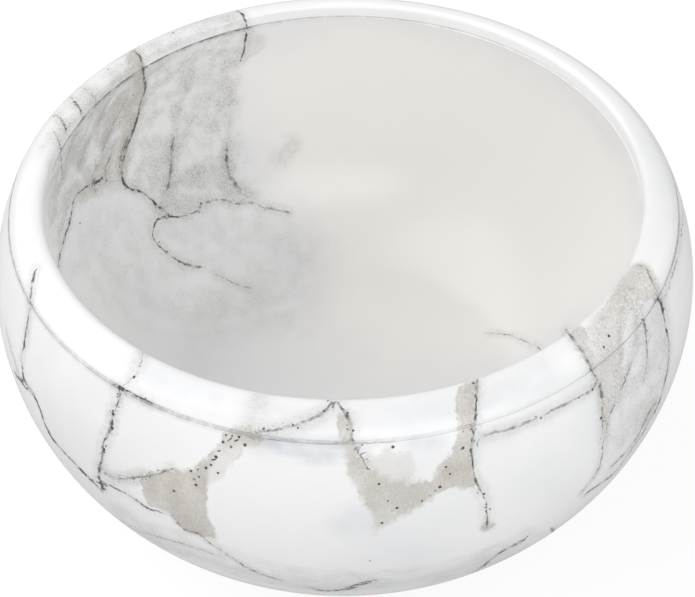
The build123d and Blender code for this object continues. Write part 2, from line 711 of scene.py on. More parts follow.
@dataclass
class BowlSection:
    """Section of the turned bowl, in millimetres above the plane that the dish stands on."""

    belly_height: float = 34.2
    base_inset: float = 25.0
    base_roll_radius: float = 12.0
    wall_thickness: float = 5.2
    floor_thickness: float = 6.5
    floor_inset: float = 20.8
    floor_roll_radius: float = 13.0
    lip_inset: float = 4.0
    lip_width: float = 5.0
    lip_height: float = 2.4
    lip_edge_radius: float = 0.7
    line_depth: float = 0.35
    coarse_step: float = 2.2
    fine_step: float = 0.86
    lip_step: float = 0.3
    rings: np.ndarray = field(init=False)
    arcs: np.ndarray = field(init=False)

    def __post_init__(self) -> None:
        """Take the outer size from the frame and trace the section."""
        low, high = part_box("marble_bowl")
        self.belly_radius = high.x / MM
        self.base_z = low.z / MM
        self.top_z = high.z / MM
        self.floor_z = self.base_z + self.floor_thickness
        self.belly_z = self.base_z + self.belly_height
        self.line_z = self.top_z - self.lip_height
        self.hollow_radius = self.belly_radius - self.wall_thickness
        self.lip_outer_radius = self.belly_radius - self.lip_inset
        self.lip_inner_radius = self.lip_outer_radius - self.lip_width
        self.rings = np.array(self.outside() + self.inside())
        steps = np.linalg.norm(np.diff(self.rings, axis=0), axis=1)
        self.arcs = np.concatenate(([0.0], np.cumsum(steps)))

    def roll_end(self, flat_radius: float, flat_z: float, roll: float, widest: float) -> Pair:
        """Work out where the roll off a flat meets the large arc of the wall.

        Args:
            flat_radius: Radius of the flat.
            flat_z: Height of the flat.
            roll: Radius of the roll.
            widest: Radius of the wall at the belly.

        Returns:
            The join of the two arcs.
        """
        reach = widest - flat_radius
        rise = self.belly_z - flat_z - roll
        large = (reach**2 + rise**2 - roll**2) / (2 * (reach - roll))
        large_centre = Vector((widest - large, self.belly_z))
        join = Vector((flat_radius, flat_z + roll)) - large_centre
        return tuple(large_centre + join.normalized() * large)

    def outside(self) -> list[Pair]:
        """Trace the outside.

        Returns:
            The section from the middle of the base to the top of the lip.
        """
        base = (self.belly_radius - self.base_inset, self.base_z)
        join = self.roll_end(*base, self.base_roll_radius, self.belly_radius)
        belly = (self.belly_radius, self.belly_z)
        line = (self.lip_outer_radius, self.line_z)
        crest = (self.lip_inner_radius + self.lip_edge_radius, self.top_z)
        points = [(0.0, self.base_z), *straight((0, self.base_z), base, self.coarse_step)]
        points += tangent_arc(base, (1, 0), join, self.fine_step)
        points += tangent_arc(belly, (0, -1), join, self.fine_step)[-2::-1] + [belly]
        points += tangent_arc(belly, (0, 1), line, self.fine_step)
        points += tangent_arc(crest, (1, 0), line, self.lip_step)[-2::-1] + [crest]
        corners = [(line[0], line[1] - self.line_depth), (line[0] - self.line_depth, line[1])]
        return self.score(points, line, corners)

    def inside(self) -> list[Pair]:
        """Trace the inside.

        Returns:
            The section from the top of the lip to the middle of the floor.
        """
        crest = (self.lip_inner_radius + self.lip_edge_radius, self.top_z)
        edge = (self.lip_inner_radius, self.top_z - self.lip_edge_radius)
        line = (self.lip_inner_radius, self.line_z)
        belly = (self.hollow_radius, self.belly_z)
        floor = (self.hollow_radius - self.floor_inset, self.floor_z)
        join = self.roll_end(*floor, self.floor_roll_radius, self.hollow_radius)
        points = tangent_arc(crest, (-1, 0), edge, self.lip_step)
        points += straight(edge, line, self.lip_step)
        points += tangent_arc(belly, (0, 1), line, self.fine_step)[-2::-1] + [belly]
        points += tangent_arc(belly, (0, -1), join, self.fine_step)
        points += tangent_arc(floor, (1, 0), join, self.fine_step)[-2::-1] + [floor]
        points += straight(floor, (0.0, self.floor_z), self.fine_step)
        return self.score(points, line, [(line[0] + self.line_depth, line[1])])

    def score(self, points: list[Pair], centre: Pair, corners: list[Pair]) -> list[Pair]:
        """Cut one of the two fine lines into the section.

        Args:
            points: The section without the line.
            centre: Where the line is cut.
            corners: Corners of the cut that lie in the stone, in the section's order.

        Returns:
            The section with the line.
        """
        depths = [abs(r - centre[0]) + abs(z - centre[1]) for r, z in points]
        within = [number for number, depth in enumerate(depths) if depth < self.line_depth]
        mouths = []
        for outer, inner in ((within[0] - 1, within[0]), (within[-1] + 1, within[-1])):
            share = (depths[outer] - self.line_depth) / (depths[outer] - depths[inner])
            far, near = np.array(points[outer]), np.array(points[inner])
            mouths.append(tuple(far + share * (near - far)))
        return points[: within[0]] + [mouths[0], *corners, mouths[1]] + points[within[-1] + 1 :]

    def arc_at(self, places: np.ndarray) -> np.ndarray:
        """Work out how far along the section each place lies.

        Args:
            places: Places on the bowl, in millimetres.

        Returns:
            The distance along the section of each place.
        """
        radii = np.hypot(places[:, 0], places[:, 1])
        flat = np.stack((radii, places[:, 2]), -1)
        gaps = ((flat[:, None] - self.rings) ** 2).sum(-1)
        return self.arcs[gaps.argmin(1)]


@dataclass
class Lathe:
    """Geometry nodes that turn a section about an upright axis."""

    segments: int = 32
    weld: float = 0.001 * MM
    tree: bpy.types.NodeTree = field(init=False)

    def __post_init__(self) -> None:
        """Build the tree once, for every turned piece."""
        group = Group("turned_about_z", "GeometryNodeTree")
        group.give("Geometry", "NodeSocketGeometry")
        group.take("Geometry", "NodeSocketGeometry")
        self.segments_input = group.take("Segments", "NodeSocketInt", self.segments)
        self.centre_input = group.take("Centre", "NodeSocketVector")
        self.weld_input = group.take("Weld", "NodeSocketFloat", self.weld)
        self.finish_input = group.take("Finish", "NodeSocketMaterial")
        given = group.open()
        wire = group.wiring
        section = given["Geometry"]
        rings = wire.add("GeometryNodeAttributeDomainSize", {0: section}).outputs["Point Count"]
        columns = wire.math("ADD", given["Segments"], 1)
        grid = wire.add("GeometryNodeMeshGrid", {"Vertices X": columns, "Vertices Y": rings})
        index = wire.add("GeometryNodeInputIndex").outputs[0]
        whole = {0: index, 1: rings}
        ring = wire.add("FunctionNodeIntegerMath", whole, operation="MODULO").outputs[0]
        turn = wire.add("FunctionNodeIntegerMath", whole, operation="DIVIDE").outputs[0]
        position = wire.add("GeometryNodeInputPosition").outputs[0]
        inputs = {"Geometry": section, "Value": position, "Index": ring}
        sample = wire.add("GeometryNodeSampleIndex", inputs, data_type="FLOAT_VECTOR")
        point = wire.add("ShaderNodeSeparateXYZ", {0: sample.outputs[0]}).outputs
        share = wire.math("DIVIDE", turn, given["Segments"])
        angle = wire.times(share, 2 * math.pi)
        across = wire.times(point[0], wire.math("COSINE", angle))
        along = wire.times(point[0], wire.math("SINE", angle))
        turned = wire.add("ShaderNodeCombineXYZ", {0: across, 1: along, 2: point[2]}).outputs[0]
        moved = wire.add("ShaderNodeVectorMath", {0: turned, 1: given["Centre"]}, operation="ADD")
        inputs = {"Geometry": grid.outputs["Mesh"], "Position": moved.outputs[0]}
        shape = wire.add("GeometryNodeSetPosition", inputs).outputs[0]
        inputs = {"Geometry": shape, "Distance": given["Weld"]}
        shape = wire.add("GeometryNodeMergeByDistance", inputs).outputs[0]
        shape = wire.add("GeometryNodeSetShadeSmooth", {0: shape}).outputs[0]
        shape = wire.add("GeometryNodeRealizeInstances", {0: shape}).outputs[0]
        inputs = {"Geometry": shape, "Material": given["Finish"]}
        shape = wire.add("GeometryNodeSetMaterial", inputs).outputs[0]
        self.tree = group.close(Geometry=shape)

    def turn(
        self,
        name: str,
        section: np.ndarray,
        segments: int,
        centre: Vector,
        finish: bpy.types.Material,
        crease: float = 32.0,
    ) -> bpy.types.Object:
        """Turn one piece and make it a plain mesh.

        Args:
            name: Name of the piece.
            section: Radius and height of each point, in metres, from axis to axis.
            segments: Number of columns round the axis.
            centre: Foot of the axis, in metres.
            finish: The piece's material.
            crease: Angle in degrees past which an edge stays sharp.

        Returns:
            The finished object, at the origin.
        """
        mesh = bpy.data.meshes.new(name)
        edges = [(number, number + 1) for number in range(len(section) - 1)]
        mesh.from_pydata([(radius, 0, height) for radius, height in section], edges, [])
        piece = bpy.data.objects.new(name, mesh)
        bpy.context.scene.collection.objects.link(piece)
        modifier = piece.modifiers.new("turned", "NODES")
        modifier.node_group = self.tree
        modifier[self.segments_input] = segments
        modifier[self.centre_input] = tuple(centre)
        modifier[self.weld_input] = self.weld
        modifier[self.finish_input] = finish
        graph = bpy.context.evaluated_depsgraph_get()
        solid = bpy.data.meshes.new_from_object(piece.evaluated_get(graph), depsgraph=graph)
        piece.modifiers.clear()
        piece.data = solid
        solid.name = name
        bpy.data.meshes.remove(mesh)
        solid.set_sharp_from_angle(angle=math.radians(crease))
        return piece


class Side(Enum):
    """How the two numbers of a mark's points are read."""

    PHOTO = "column and row of the photograph"
    OUTSIDE = "degrees round from +X, and height in millimetres, on the outer wall"
    INSIDE = "degrees round from +X, and height in millimetres, on the inner wall"
    UNDERSIDE = "X and Y in millimetres under the base"


@dataclass(frozen=True)
class Mark:
    """A line or an outline in the stone, given by its points."""

    points: tuple[Pair, ...]
    side: Side = Side.PHOTO


@dataclass(frozen=True)
class Crack(Mark):
    """A dark line, with its width in millimetres and how dark it and its halo are."""

    width: float = 0.30
    dark: float = 0.75
    halo: float = 0.35


@dataclass(frozen=True)
class Veil(Mark):
    """A soft vein, with its half width in millimetres, its strength and whether it is bluish; a few bluish
    ones are painted shade.
    """

    width: float = 1.2
    strength: float = 0.4
    cool: bool = False


@dataclass(frozen=True)
class Haze(Mark):
    """A wide grainy area, with its strength, how far its edge fades, and whether it is warm white; a few are
    painted shade, and the warm one is partly painted light.
    """

    strength: float = 0.4
    fade: float = 2.5
    cream_and_light: bool = False


@dataclass(frozen=True)
class Patch(Mark):
    """A taupe patch, with how strong its tone is and how far, in millimetres, its edge fades."""

    tone: float = 0.8
    fade: float = 0.5


@dataclass(frozen=True)
class Crease:
    """How dark the painted shade in one of the two fine lines is, by degrees round from +X."""

    inner: bool
    strengths: tuple[Pair, ...]


@dataclass(frozen=True)
class Dots(Mark):
    """Black dots, with their radius in millimetres."""

    radius: float = 0.2


@dataclass(frozen=True)
class MarkSet:
    """Marks chosen one by one, in the order in which they are drawn."""

    def listed(self) -> list[Mark | Crease]:
        """Return the marks in their order."""
        return [getattr(self, item.name) for item in fields(self)]


@dataclass(frozen=True)
class FrontMarks(MarkSet):
    """Marks of the belly, and of the front and right of the lip, as the photograph shows them."""

    left_crack: Mark = Crack((
        (22, 363), (25, 382), (33, 394), (41, 412), (45, 424), (53, 439), (65, 453), (80, 469), (93, 482),
        (101, 490),
    ), width=0.72, dark=1.0, halo=0.4)
    left_crack_top: Mark = Crack((
        (33, 275), (32, 282), (30, 300), (28, 320), (25, 340), (21, 362),
    ), width=0.3, dark=0.65, halo=0.5)
    left_crack_spur: Mark = Crack(((15, 373), (19, 378), (25, 386)), width=0.5, dark=0.95, halo=0.2)
    left_edge_line: Mark = Crack(((6, 330), (12, 352), (18, 372)), width=0.4, dark=0.35, halo=0.4)
    black_dots_crack: Mark = Crack((
        (121, 387), (119, 399), (113, 412), (112, 426), (105, 440), (102, 454), (101, 464), (98, 480),
    ), width=0.34, dark=0.6, halo=0.9)
    rim_to_crease: Mark = Crack((
        (142, 355), (138, 366), (134, 377), (126, 383), (120, 387),
    ), width=0.22, dark=0.35, halo=0.6)
    crease_spot: Mark = Crack((
        (115, 386), (121, 388), (132, 393), (142, 398), (151, 402),
    ), width=0.3, dark=0.85, halo=0.5)
    lower_branch: Mark = Crack((
        (101, 481), (110, 485), (125, 493), (136, 500), (147, 508), (157, 511), (171, 516), (184, 529),
        (198, 533), (213, 545), (235, 560), (254, 571), (280, 580),
    ), width=0.28, dark=0.6, halo=0.4)
    short_branch: Mark = Crack((
        (102, 466), (107, 474), (120, 479), (138, 477), (158, 474), (172, 469),
    ), width=0.26, dark=0.45, halo=0.7)
    bottom_left_spot: Mark = Crack(((98, 478), (101, 483), (104, 489)), width=0.5, dark=1.0, halo=0.5)
    low_left_line: Mark = Crack((
        (118, 520), (136, 529), (156, 536), (180, 543), (200, 549), (222, 558),
    ), width=0.35, dark=0.3, halo=0.25)
    triangle_link: Mark = Veil(((102, 468), (112, 476), (126, 479), (142, 476)), width=1.0, strength=0.5)
    taupe_triangle: Mark = Patch((
        (138, 477), (160, 472), (190, 469), (206, 460), (222, 446), (230, 444), (222, 458), (210, 478),
        (207, 500), (210, 520), (219, 544), (208, 538), (196, 534), (184, 529), (171, 516), (155, 509),
        (146, 500), (143, 487),
    ), tone=1.0, fade=0.35)
    triangle_neck: Mark = Patch((
        (205, 470), (212, 455), (222, 444), (236, 436), (247, 442), (238, 456), (226, 470), (212, 480),
    ), tone=0.45)
    blob: Mark = Patch((
        (222, 438), (232, 430), (246, 427), (256, 432), (262, 440), (252, 447), (238, 450), (226, 446),
    ), tone=0.85)
    blob_streak: Mark = Veil(((250, 432), (254, 420), (258, 408), (260, 398)), width=1.5, strength=0.35)
    # Painted shade: a smooth bluish-grey band that darkens the front of the lip.
    rim_front_painted_shade: Mark = Veil((
        (140, 362), (170, 381), (200, 394), (235, 406), (270, 413), (310, 418), (350, 419), (390, 417),
        (430, 412), (470, 403), (510, 390), (545, 374),
    ), width=2.2, strength=0.3, cool=True)
    arch_left: Mark = Crack((
        (332, 400), (328, 408), (316, 416), (306, 421), (294, 425), (284, 428), (270, 431), (257, 433),
    ), width=0.24, dark=0.5, halo=0.5)
    arch_left_veil: Mark = Veil((
        (330, 408), (312, 421), (290, 427), (262, 434),
    ), width=1.0, strength=0.35)
    arch_right: Mark = Crack((
        (334, 401), (338, 404), (344, 411), (348, 420), (351, 430), (354, 445), (360, 456), (367, 467),
    ), width=0.26, dark=0.6, halo=0.55)
    arch_band: Mark = Patch((
        (341, 412), (348, 418), (353, 432), (356, 448), (366, 462), (382, 470), (398, 478), (410, 480),
        (428, 484), (430, 500), (420, 507), (404, 515), (388, 523), (378, 530), (373, 536), (372, 520),
        (366, 506), (358, 492), (350, 478), (344, 462), (342, 440),
    ), tone=0.85)
    arch_upper: Mark = Patch((
        (366, 458), (378, 452), (396, 450), (412, 456), (414, 472), (404, 484), (386, 484), (370, 474),
    ), tone=0.38)
    band: Mark = Patch((
        (466, 380), (478, 377), (477, 390), (476, 405), (474, 430), (472, 455), (472, 470), (478, 486),
        (468, 488), (452, 486), (436, 488), (440, 470), (452, 452), (457, 430), (457, 410), (460, 392),
    ), tone=1.0)
    band_edge: Mark = Crack((
        (476, 380), (476, 400), (475, 420), (473, 445), (472, 462), (473, 474), (478, 486), (483, 493),
    ), width=0.3, dark=0.75, halo=0.6)
    band_tail: Mark = Crack((
        (483, 494), (486, 505), (487, 516), (486, 526),
    ), width=0.24, dark=0.55, halo=0.4)
    band_foot: Mark = Patch((
        (486, 517), (490, 524), (496, 527), (489, 529), (482, 531), (485, 524),
    ), tone=1.0)
    lens_lower: Mark = Veil((
        (254, 440), (268, 444), (286, 450), (306, 455), (320, 457), (336, 457),
    ), width=0.9, strength=0.8, cool=True)
    lens_haze: Mark = Veil((
        (262, 440), (290, 443), (325, 446), (352, 446),
    ), width=1.8, strength=0.6, cool=True)
    lens_right: Mark = Veil(((413, 444), (426, 443), (440, 442)), width=1.0, strength=0.45, cool=True)
    lens_line: Mark = Crack((
        (252, 438), (275, 441), (305, 443), (340, 443), (372, 443), (395, 442),
    ), width=0.22, dark=0.22, halo=0.2)
    front_cool: Mark = Veil(((344, 526), (354, 518), (362, 522)), width=2.2, strength=0.3, cool=True)
    crease_vein: Mark = Veil((
        (480, 436), (492, 432), (508, 429), (520, 425), (540, 417), (555, 410), (570, 402), (584, 394),
        (597, 386),
    ), width=0.75, strength=0.4)
    crease_vein_dark: Mark = Crack((
        (484, 435), (492, 432), (508, 429), (530, 421), (545, 415), (560, 407), (575, 399), (588, 391),
        (597, 386),
    ), width=0.28, dark=0.42, halo=0.2)
    crease_vein_cool: Mark = Veil((
        (478, 442), (492, 438), (505, 434),
    ), width=1.4, strength=0.3, cool=True)
    right_ear: Mark = Patch((
        (565, 331), (572, 326), (583, 328), (588, 338), (590, 352), (595, 366), (601, 382), (594, 378),
        (586, 363), (576, 348),
    ), tone=0.72, fade=0.4)
    right_ear_edge: Mark = Crack((
        (566, 330), (577, 344), (583, 352), (588, 364), (594, 374), (600, 384), (602, 402), (602, 420),
        (603, 440), (602, 455), (599, 468), (592, 480), (582, 492),
    ), width=0.3, dark=0.5, halo=0.6)
    right_top: Mark = Patch((
        (609, 294), (618, 282), (628, 270), (638, 264), (648, 268), (656, 281), (660, 297), (650, 299),
        (638, 297), (628, 291), (618, 299),
    ), tone=0.8, fade=0.5)
    right_body: Mark = Patch((
        (592, 324), (600, 312), (612, 297), (626, 293), (634, 300), (627, 314), (622, 330), (619, 348),
        (621, 364), (624, 380), (615, 398), (609, 418), (604, 440), (602, 420), (599, 396), (597, 372),
        (593, 350), (590, 336),
    ), tone=0.55, fade=0.8)
    right_shade: Mark = Haze((
        (584, 334), (600, 308), (640, 266), (662, 290), (672, 330), (670, 366), (660, 400), (640, 430),
        (612, 452), (602, 440), (596, 390),
    ), strength=0.5, fade=1.6)
    right_blue: Mark = Veil((
        (654, 310), (660, 326), (660, 344), (655, 360),
    ), width=1.8, strength=0.5, cool=True)
    right_streak_a: Mark = Veil((
        (626, 300), (621, 318), (620, 340), (621, 356), (617, 372),
    ), width=0.55, strength=0.75)
    right_top_edge: Mark = Crack((
        (637, 266), (645, 267), (652, 280), (659, 297),
    ), width=0.2, dark=0.45, halo=0.3)
    right_streak_b: Mark = Crack((
        (659, 297), (661, 304), (664, 318), (667, 331), (669, 344), (668, 366), (660, 400), (648, 424),
        (636, 443), (624, 460), (614, 473), (600, 484), (586, 494),
    ), width=0.42, dark=0.75, halo=0.5)
    right_streak_c: Mark = Crack((
        (638, 304), (642, 316), (645, 328), (647, 350), (646, 366), (644, 380),
    ), width=0.26, dark=0.5, halo=0.5)
    right_streak_d: Mark = Crack((
        (655, 404), (648, 414), (640, 432), (626, 452), (612, 466),
    ), width=0.36, dark=0.6, halo=0.5)
    right_streak_e: Mark = Veil((
        (632, 304), (636, 320), (636, 340), (630, 356), (627, 372),
    ), width=0.5, strength=0.6)
    right_gore_edge: Mark = Crack((
        (640, 346), (630, 368), (622, 388), (612, 410), (605, 436),
    ), width=0.22, dark=0.45, halo=0.5)
    right_spot: Mark = Patch((
        (658, 394), (652, 399), (645, 410), (641, 424), (647, 425), (654, 414), (659, 404),
    ), tone=0.6, fade=0.6)
    right_rim_arc: Mark = Crack((
        (656, 300), (662, 300), (667, 290), (675, 268), (680, 244), (683, 212),
    ), width=0.24, dark=0.5, halo=0.4)
    # Painted shade: the darker band low on the belly, where the polished stone mirrors the floor in the
    # dish's shadow.
    low_belly_painted_shade: Mark = Haze((
        (100, 490), (147, 519), (197, 534), (231, 549), (270, 561), (314, 568), (360, 571), (405, 568),
        (450, 559), (495, 544), (530, 526), (544, 534), (520, 552), (480, 571), (430, 584), (380, 590),
        (340, 592), (290, 587), (240, 577), (190, 559), (150, 541), (120, 519),
    ), strength=0.34, fade=0.6)
    # Painted shade: bluish-grey bands along the bottom of the belly, under the band above.
    bottom_painted_shade: Mark = Veil((
        (238, 570), (270, 580), (310, 586), (350, 587), (400, 583), (450, 572), (500, 552),
    ), width=2.2, strength=0.42, cool=True)
    bottom_left_painted_shade: Mark = Veil((
        (112, 516), (140, 533), (170, 547), (205, 560), (240, 571),
    ), width=1.8, strength=0.42, cool=True)
    bottom_specks: Mark = Crack((
        (312, 588), (325, 591), (340, 590), (352, 588), (358, 585), (372, 582),
    ), width=0.6, dark=0.8, halo=0.7)
    bottom_line: Mark = Crack((
        (340, 590), (352, 586), (362, 583), (376, 580),
    ), width=0.4, dark=0.7, halo=0.5)
    bottom_right_a: Mark = Crack((
        (466, 578), (478, 570), (490, 560), (504, 550), (516, 544), (526, 538),
    ), width=0.45, dark=0.65, halo=0.5)
    bottom_right_b: Mark = Crack(((517, 546), (523, 541), (528, 536)), width=0.5, dark=0.6, halo=0.4)
    bottom_right_c: Mark = Crack(((550, 536), (553, 532), (552, 528)), width=0.5, dark=0.7, halo=0.3)


@dataclass(frozen=True)
class HollowMarks(MarkSet):
    """Marks of the hollow, and of the left and back of the lip, as the photograph shows them."""

    rim_back_line: Mark = Crack((
        (236, 11), (241, 13), (245, 20), (247, 28), (246, 38), (244, 48), (241, 60),
    ), width=0.26, dark=0.65, halo=0.4)
    rim_back_patch: Mark = Patch((
        (246, 30), (256, 33), (266, 38), (262, 48), (250, 56), (243, 62), (245, 46),
    ), tone=0.4, fade=1.0)
    rim_back_dust: Mark = Veil(((198, 22), (212, 18), (224, 17)), width=1.8, strength=0.4)
    back_haze: Mark = Haze((
        (246, 24), (243, 60), (238, 110), (246, 170), (262, 200), (236, 208), (202, 208), (160, 214),
        (124, 186), (104, 198), (76, 212), (60, 256), (50, 240), (48, 190), (66, 148), (104, 98),
        (150, 64), (200, 40),
    ), strength=0.6, fade=2.0)
    # Partly the stone's warm tone, partly painted light: brightens the lit back and right of the hollow.
    warm_haze_and_light: Mark = Haze((
        (252, 70), (340, 22), (450, 38), (560, 92), (622, 170), (628, 262), (560, 325), (470, 362),
        (380, 372), (330, 330), (330, 250), (276, 190),
    ), strength=1.0, fade=6.5, cream_and_light=True)
    rim_haze: Mark = Haze((
        (40, 150), (60, 112), (96, 78), (134, 52), (180, 28), (238, 12), (246, 24), (200, 40), (150, 62),
        (104, 96), (66, 140), (48, 180),
    ), strength=0.5, fade=1.0)
    # Partly grey stone, partly painted shade: darkens the left and middle of the floor, where the left wall
    # shades it.
    floor_haze_and_shade: Mark = Haze((
        (60, 250), (110, 190), (160, 205), (260, 200), (330, 250), (300, 330), (200, 340), (110, 310),
        (70, 280),
    ), strength=0.26, fade=6.5)
    back_band: Mark = Patch((
        (126, 60), (133, 51), (139, 55), (143, 69), (145, 88), (140, 106), (135, 125), (128, 143),
        (126, 160), (125, 175), (121, 174), (119, 160), (121, 139), (122, 112), (132, 97), (134, 81),
    ), tone=1.0, fade=0.6)
    back_band_shade: Mark = Veil((
        (134, 54), (139, 66), (141, 84), (137, 104), (130, 126), (124, 148), (121, 172),
    ), width=1.1, strength=0.9)
    back_band_dust: Mark = Patch((
        (124, 92), (116, 100), (106, 110), (97, 122), (100, 134), (110, 136), (118, 124), (124, 108),
    ), tone=0.65, fade=1.0)
    # Partly grainy grey stone, partly painted shade: darkens the left wall of the hollow, which faces away
    # from the key lamp.
    left_wall_haze_and_shade: Mark = Haze((
        (128, 62), (134, 84), (132, 104), (122, 140), (118, 172), (98, 184), (76, 208), (60, 246),
        (52, 214), (54, 176), (70, 136), (98, 96),
    ), strength=0.9, fade=1.2)
    wall_dust_a: Mark = Crack((
        (122, 82), (110, 98), (99, 120), (88, 142), (80, 164),
    ), width=0.2, dark=0.3, halo=0.9)
    wall_dust_b: Mark = Crack((
        (127, 100), (116, 118), (108, 136), (103, 150),
    ), width=0.24, dark=0.4, halo=1.0)
    wall_dust_c: Mark = Crack((
        (104, 92), (88, 112), (75, 136), (67, 158), (63, 180),
    ), width=0.2, dark=0.25, halo=0.7)
    back_band_foot: Mark = Patch((
        (120, 140), (108, 152), (98, 166), (88, 182), (78, 198), (84, 202), (98, 192), (112, 182),
        (124, 178),
    ), tone=0.55, fade=1.0)
    back_band_edge: Mark = Crack((
        (132, 51), (139, 55), (143, 69), (145, 88), (140, 106), (135, 125), (128, 143), (124, 160),
        (122, 178),
    ), width=0.34, dark=0.65, halo=0.75)
    back_band_core: Mark = Crack((
        (126, 140), (121, 156), (120, 168), (122, 180),
    ), width=0.5, dark=0.45, halo=0.6)
    dust_streak_a: Mark = Veil(((118, 108), (108, 124), (104, 140)), width=0.7, strength=0.5)
    dust_streak_b: Mark = Crack(((110, 158), (106, 168), (106, 182)), width=0.3, dark=0.5, halo=0.7)
    dust_streak_c: Mark = Crack(((97, 166), (92, 176), (95, 190)), width=0.26, dark=0.45, halo=0.6)
    back_vein_a: Mark = Veil((
        (182, 78), (186, 90), (180, 106), (177, 125), (173, 143), (171, 168), (169, 190),
    ), width=0.7, strength=0.34)
    back_vein_b: Mark = Veil((
        (238, 78), (233, 99), (229, 127), (227, 148), (227, 171), (235, 184),
    ), width=0.6, strength=0.26)
    back_vein_a_low: Mark = Veil((
        (173, 142), (171, 156), (171, 172), (169, 190),
    ), width=0.75, strength=0.6)
    back_vein_b_low: Mark = Veil(((226, 148), (226, 160), (227, 173)), width=0.8, strength=0.6)
    back_vein_b_dark: Mark = Crack((
        (227, 146), (227, 160), (228, 172), (235, 184), (240, 190),
    ), width=0.4, dark=0.6, halo=0.75)
    back_vein_a_dark: Mark = Crack((
        (173, 140), (171, 154), (171, 170), (168, 188),
    ), width=0.4, dark=0.5, halo=0.85)
    floor_crack_a: Mark = Crack((
        (122, 178), (127, 187), (138, 191), (147, 196), (156, 204), (163, 210),
    ), width=0.36, dark=0.8, halo=0.9)
    floor_crack_b: Mark = Crack((
        (202, 204), (198, 211), (182, 216), (168, 217), (157, 219), (154, 227), (153, 236), (158, 244),
        (165, 251), (173, 257), (182, 263), (199, 267),
    ), width=0.28, dark=0.65, halo=0.6)
    floor_crack_c: Mark = Crack((
        (217, 275), (226, 279), (237, 284), (249, 288),
    ), width=0.2, dark=0.4, halo=0.45)
    floor_crack_d: Mark = Crack((
        (204, 203), (212, 200), (222, 200), (236, 204), (251, 202), (262, 207), (274, 209), (288, 212),
    ), width=0.24, dark=0.45, halo=0.55)
    floor_veil: Mark = Veil((
        (168, 186), (176, 180), (190, 176), (206, 174), (218, 178), (232, 190), (244, 190), (252, 196),
    ), width=1.5, strength=0.42)
    floor_veil_b: Mark = Veil(((163, 210), (176, 206), (190, 204), (204, 203)), width=1.6, strength=0.3)
    left_wall_crack: Mark = Crack((
        (100, 180), (88, 186), (78, 194), (73, 203), (72, 210), (70, 221), (67, 231), (63, 243),
        (60, 256), (58, 270),
    ), width=0.36, dark=0.75, halo=0.6)
    left_lip_arc: Mark = Crack((
        (48, 118), (56, 115), (62, 120), (66, 130),
    ), width=0.24, dark=0.45, halo=0.4)
    left_lip_arc_b: Mark = Crack((
        (55, 132), (60, 146), (61, 158), (62, 174),
    ), width=0.3, dark=0.6, halo=0.6)
    left_lip_arc_c: Mark = Crack((
        (68, 96), (74, 101), (80, 109), (83, 118),
    ), width=0.26, dark=0.55, halo=0.5)
    left_lip_arc_d: Mark = Crack(((76, 88), (84, 88), (92, 96), (98, 104)), width=0.2, dark=0.3, halo=0.5)
    rim_left_spot: Mark = Crack(((35, 272), (33, 278), (32, 284)), width=0.45, dark=1.0, halo=0.4)
    rim_left_veil: Mark = Veil((
        (34, 268), (33, 284), (31, 304), (29, 322), (26, 342),
    ), width=0.9, strength=0.35)
    front_floor_line: Mark = Crack((
        (490, 333), (505, 334), (518, 338), (530, 343), (542, 350),
    ), width=0.24, dark=0.4, halo=0.35)
    lost_vein: Mark = Veil(((292, 145), (287, 152), (280, 158)), width=1.7, strength=0.34)


@dataclass(frozen=True)
class DotMarks(MarkSet):
    """The black dots that the photograph shows."""

    stroke_dots: Mark = Dots((
        (113, 411), (113, 414), (112, 424), (112, 428), (104, 449), (104, 452), (101, 482), (103, 486),
        (120, 387), (123, 389),
    ), radius=0.3)
    black_dots: Mark = Dots((
        (102, 457), (134, 377), (125, 493), (147, 508), (191, 471), (199, 477), (206, 468), (218, 473),
        (216, 457), (223, 442), (231, 447), (245, 445), (239, 437), (226, 435), (196, 485), (211, 465),
        (254, 571), (174, 491), (198, 533),
    ), radius=0.24)
    front_dots: Mark = Dots((
        (388, 501), (397, 508), (422, 501), (393, 447), (379, 484), (370, 561), (463, 448), (446, 467),
        (440, 487), (484, 494), (541, 418), (601, 418), (324, 411), (298, 428), (382, 523), (450, 474),
        (609, 336), (604, 347),
    ), radius=0.22)
    inside_dots: Mark = Dots((
        (202, 204), (199, 267), (122, 178), (173, 33), (108, 69), (133, 95), (74, 102), (81, 111),
        (66, 129), (61, 167), (185, 50), (156, 204), (80, 223),
    ), radius=0.22)


@dataclass(frozen=True)
class CreaseShadeMarks(MarkSet):
    """The painted shade in the two fine lines beside the lip."""

    outer_crease: Crease = Crease(False, (
        (0, 0.25), (60, 0.2), (120, 0.25), (160, 0.4), (195, 0.5), (215, 0.5), (228, 0.55), (233, 0.95),
        (240, 0.85), (247, 0.55), (262, 0.25), (275, 0.12), (287, 0.06), (300, 0.06), (318, 0.08),
        (330, 0.14), (342, 0.5), (360, 0.25),
    ))
    inner_crease: Crease = Crease(True, (
        (0, 0.12), (60, 0.25), (95, 0.3), (104, 0.4), (110, 0.85), (125, 1.0), (150, 1.0), (185, 1.0),
        (200, 0.85), (210, 0.45), (225, 0.2), (290, 0.1), (360, 0.12),
    ))


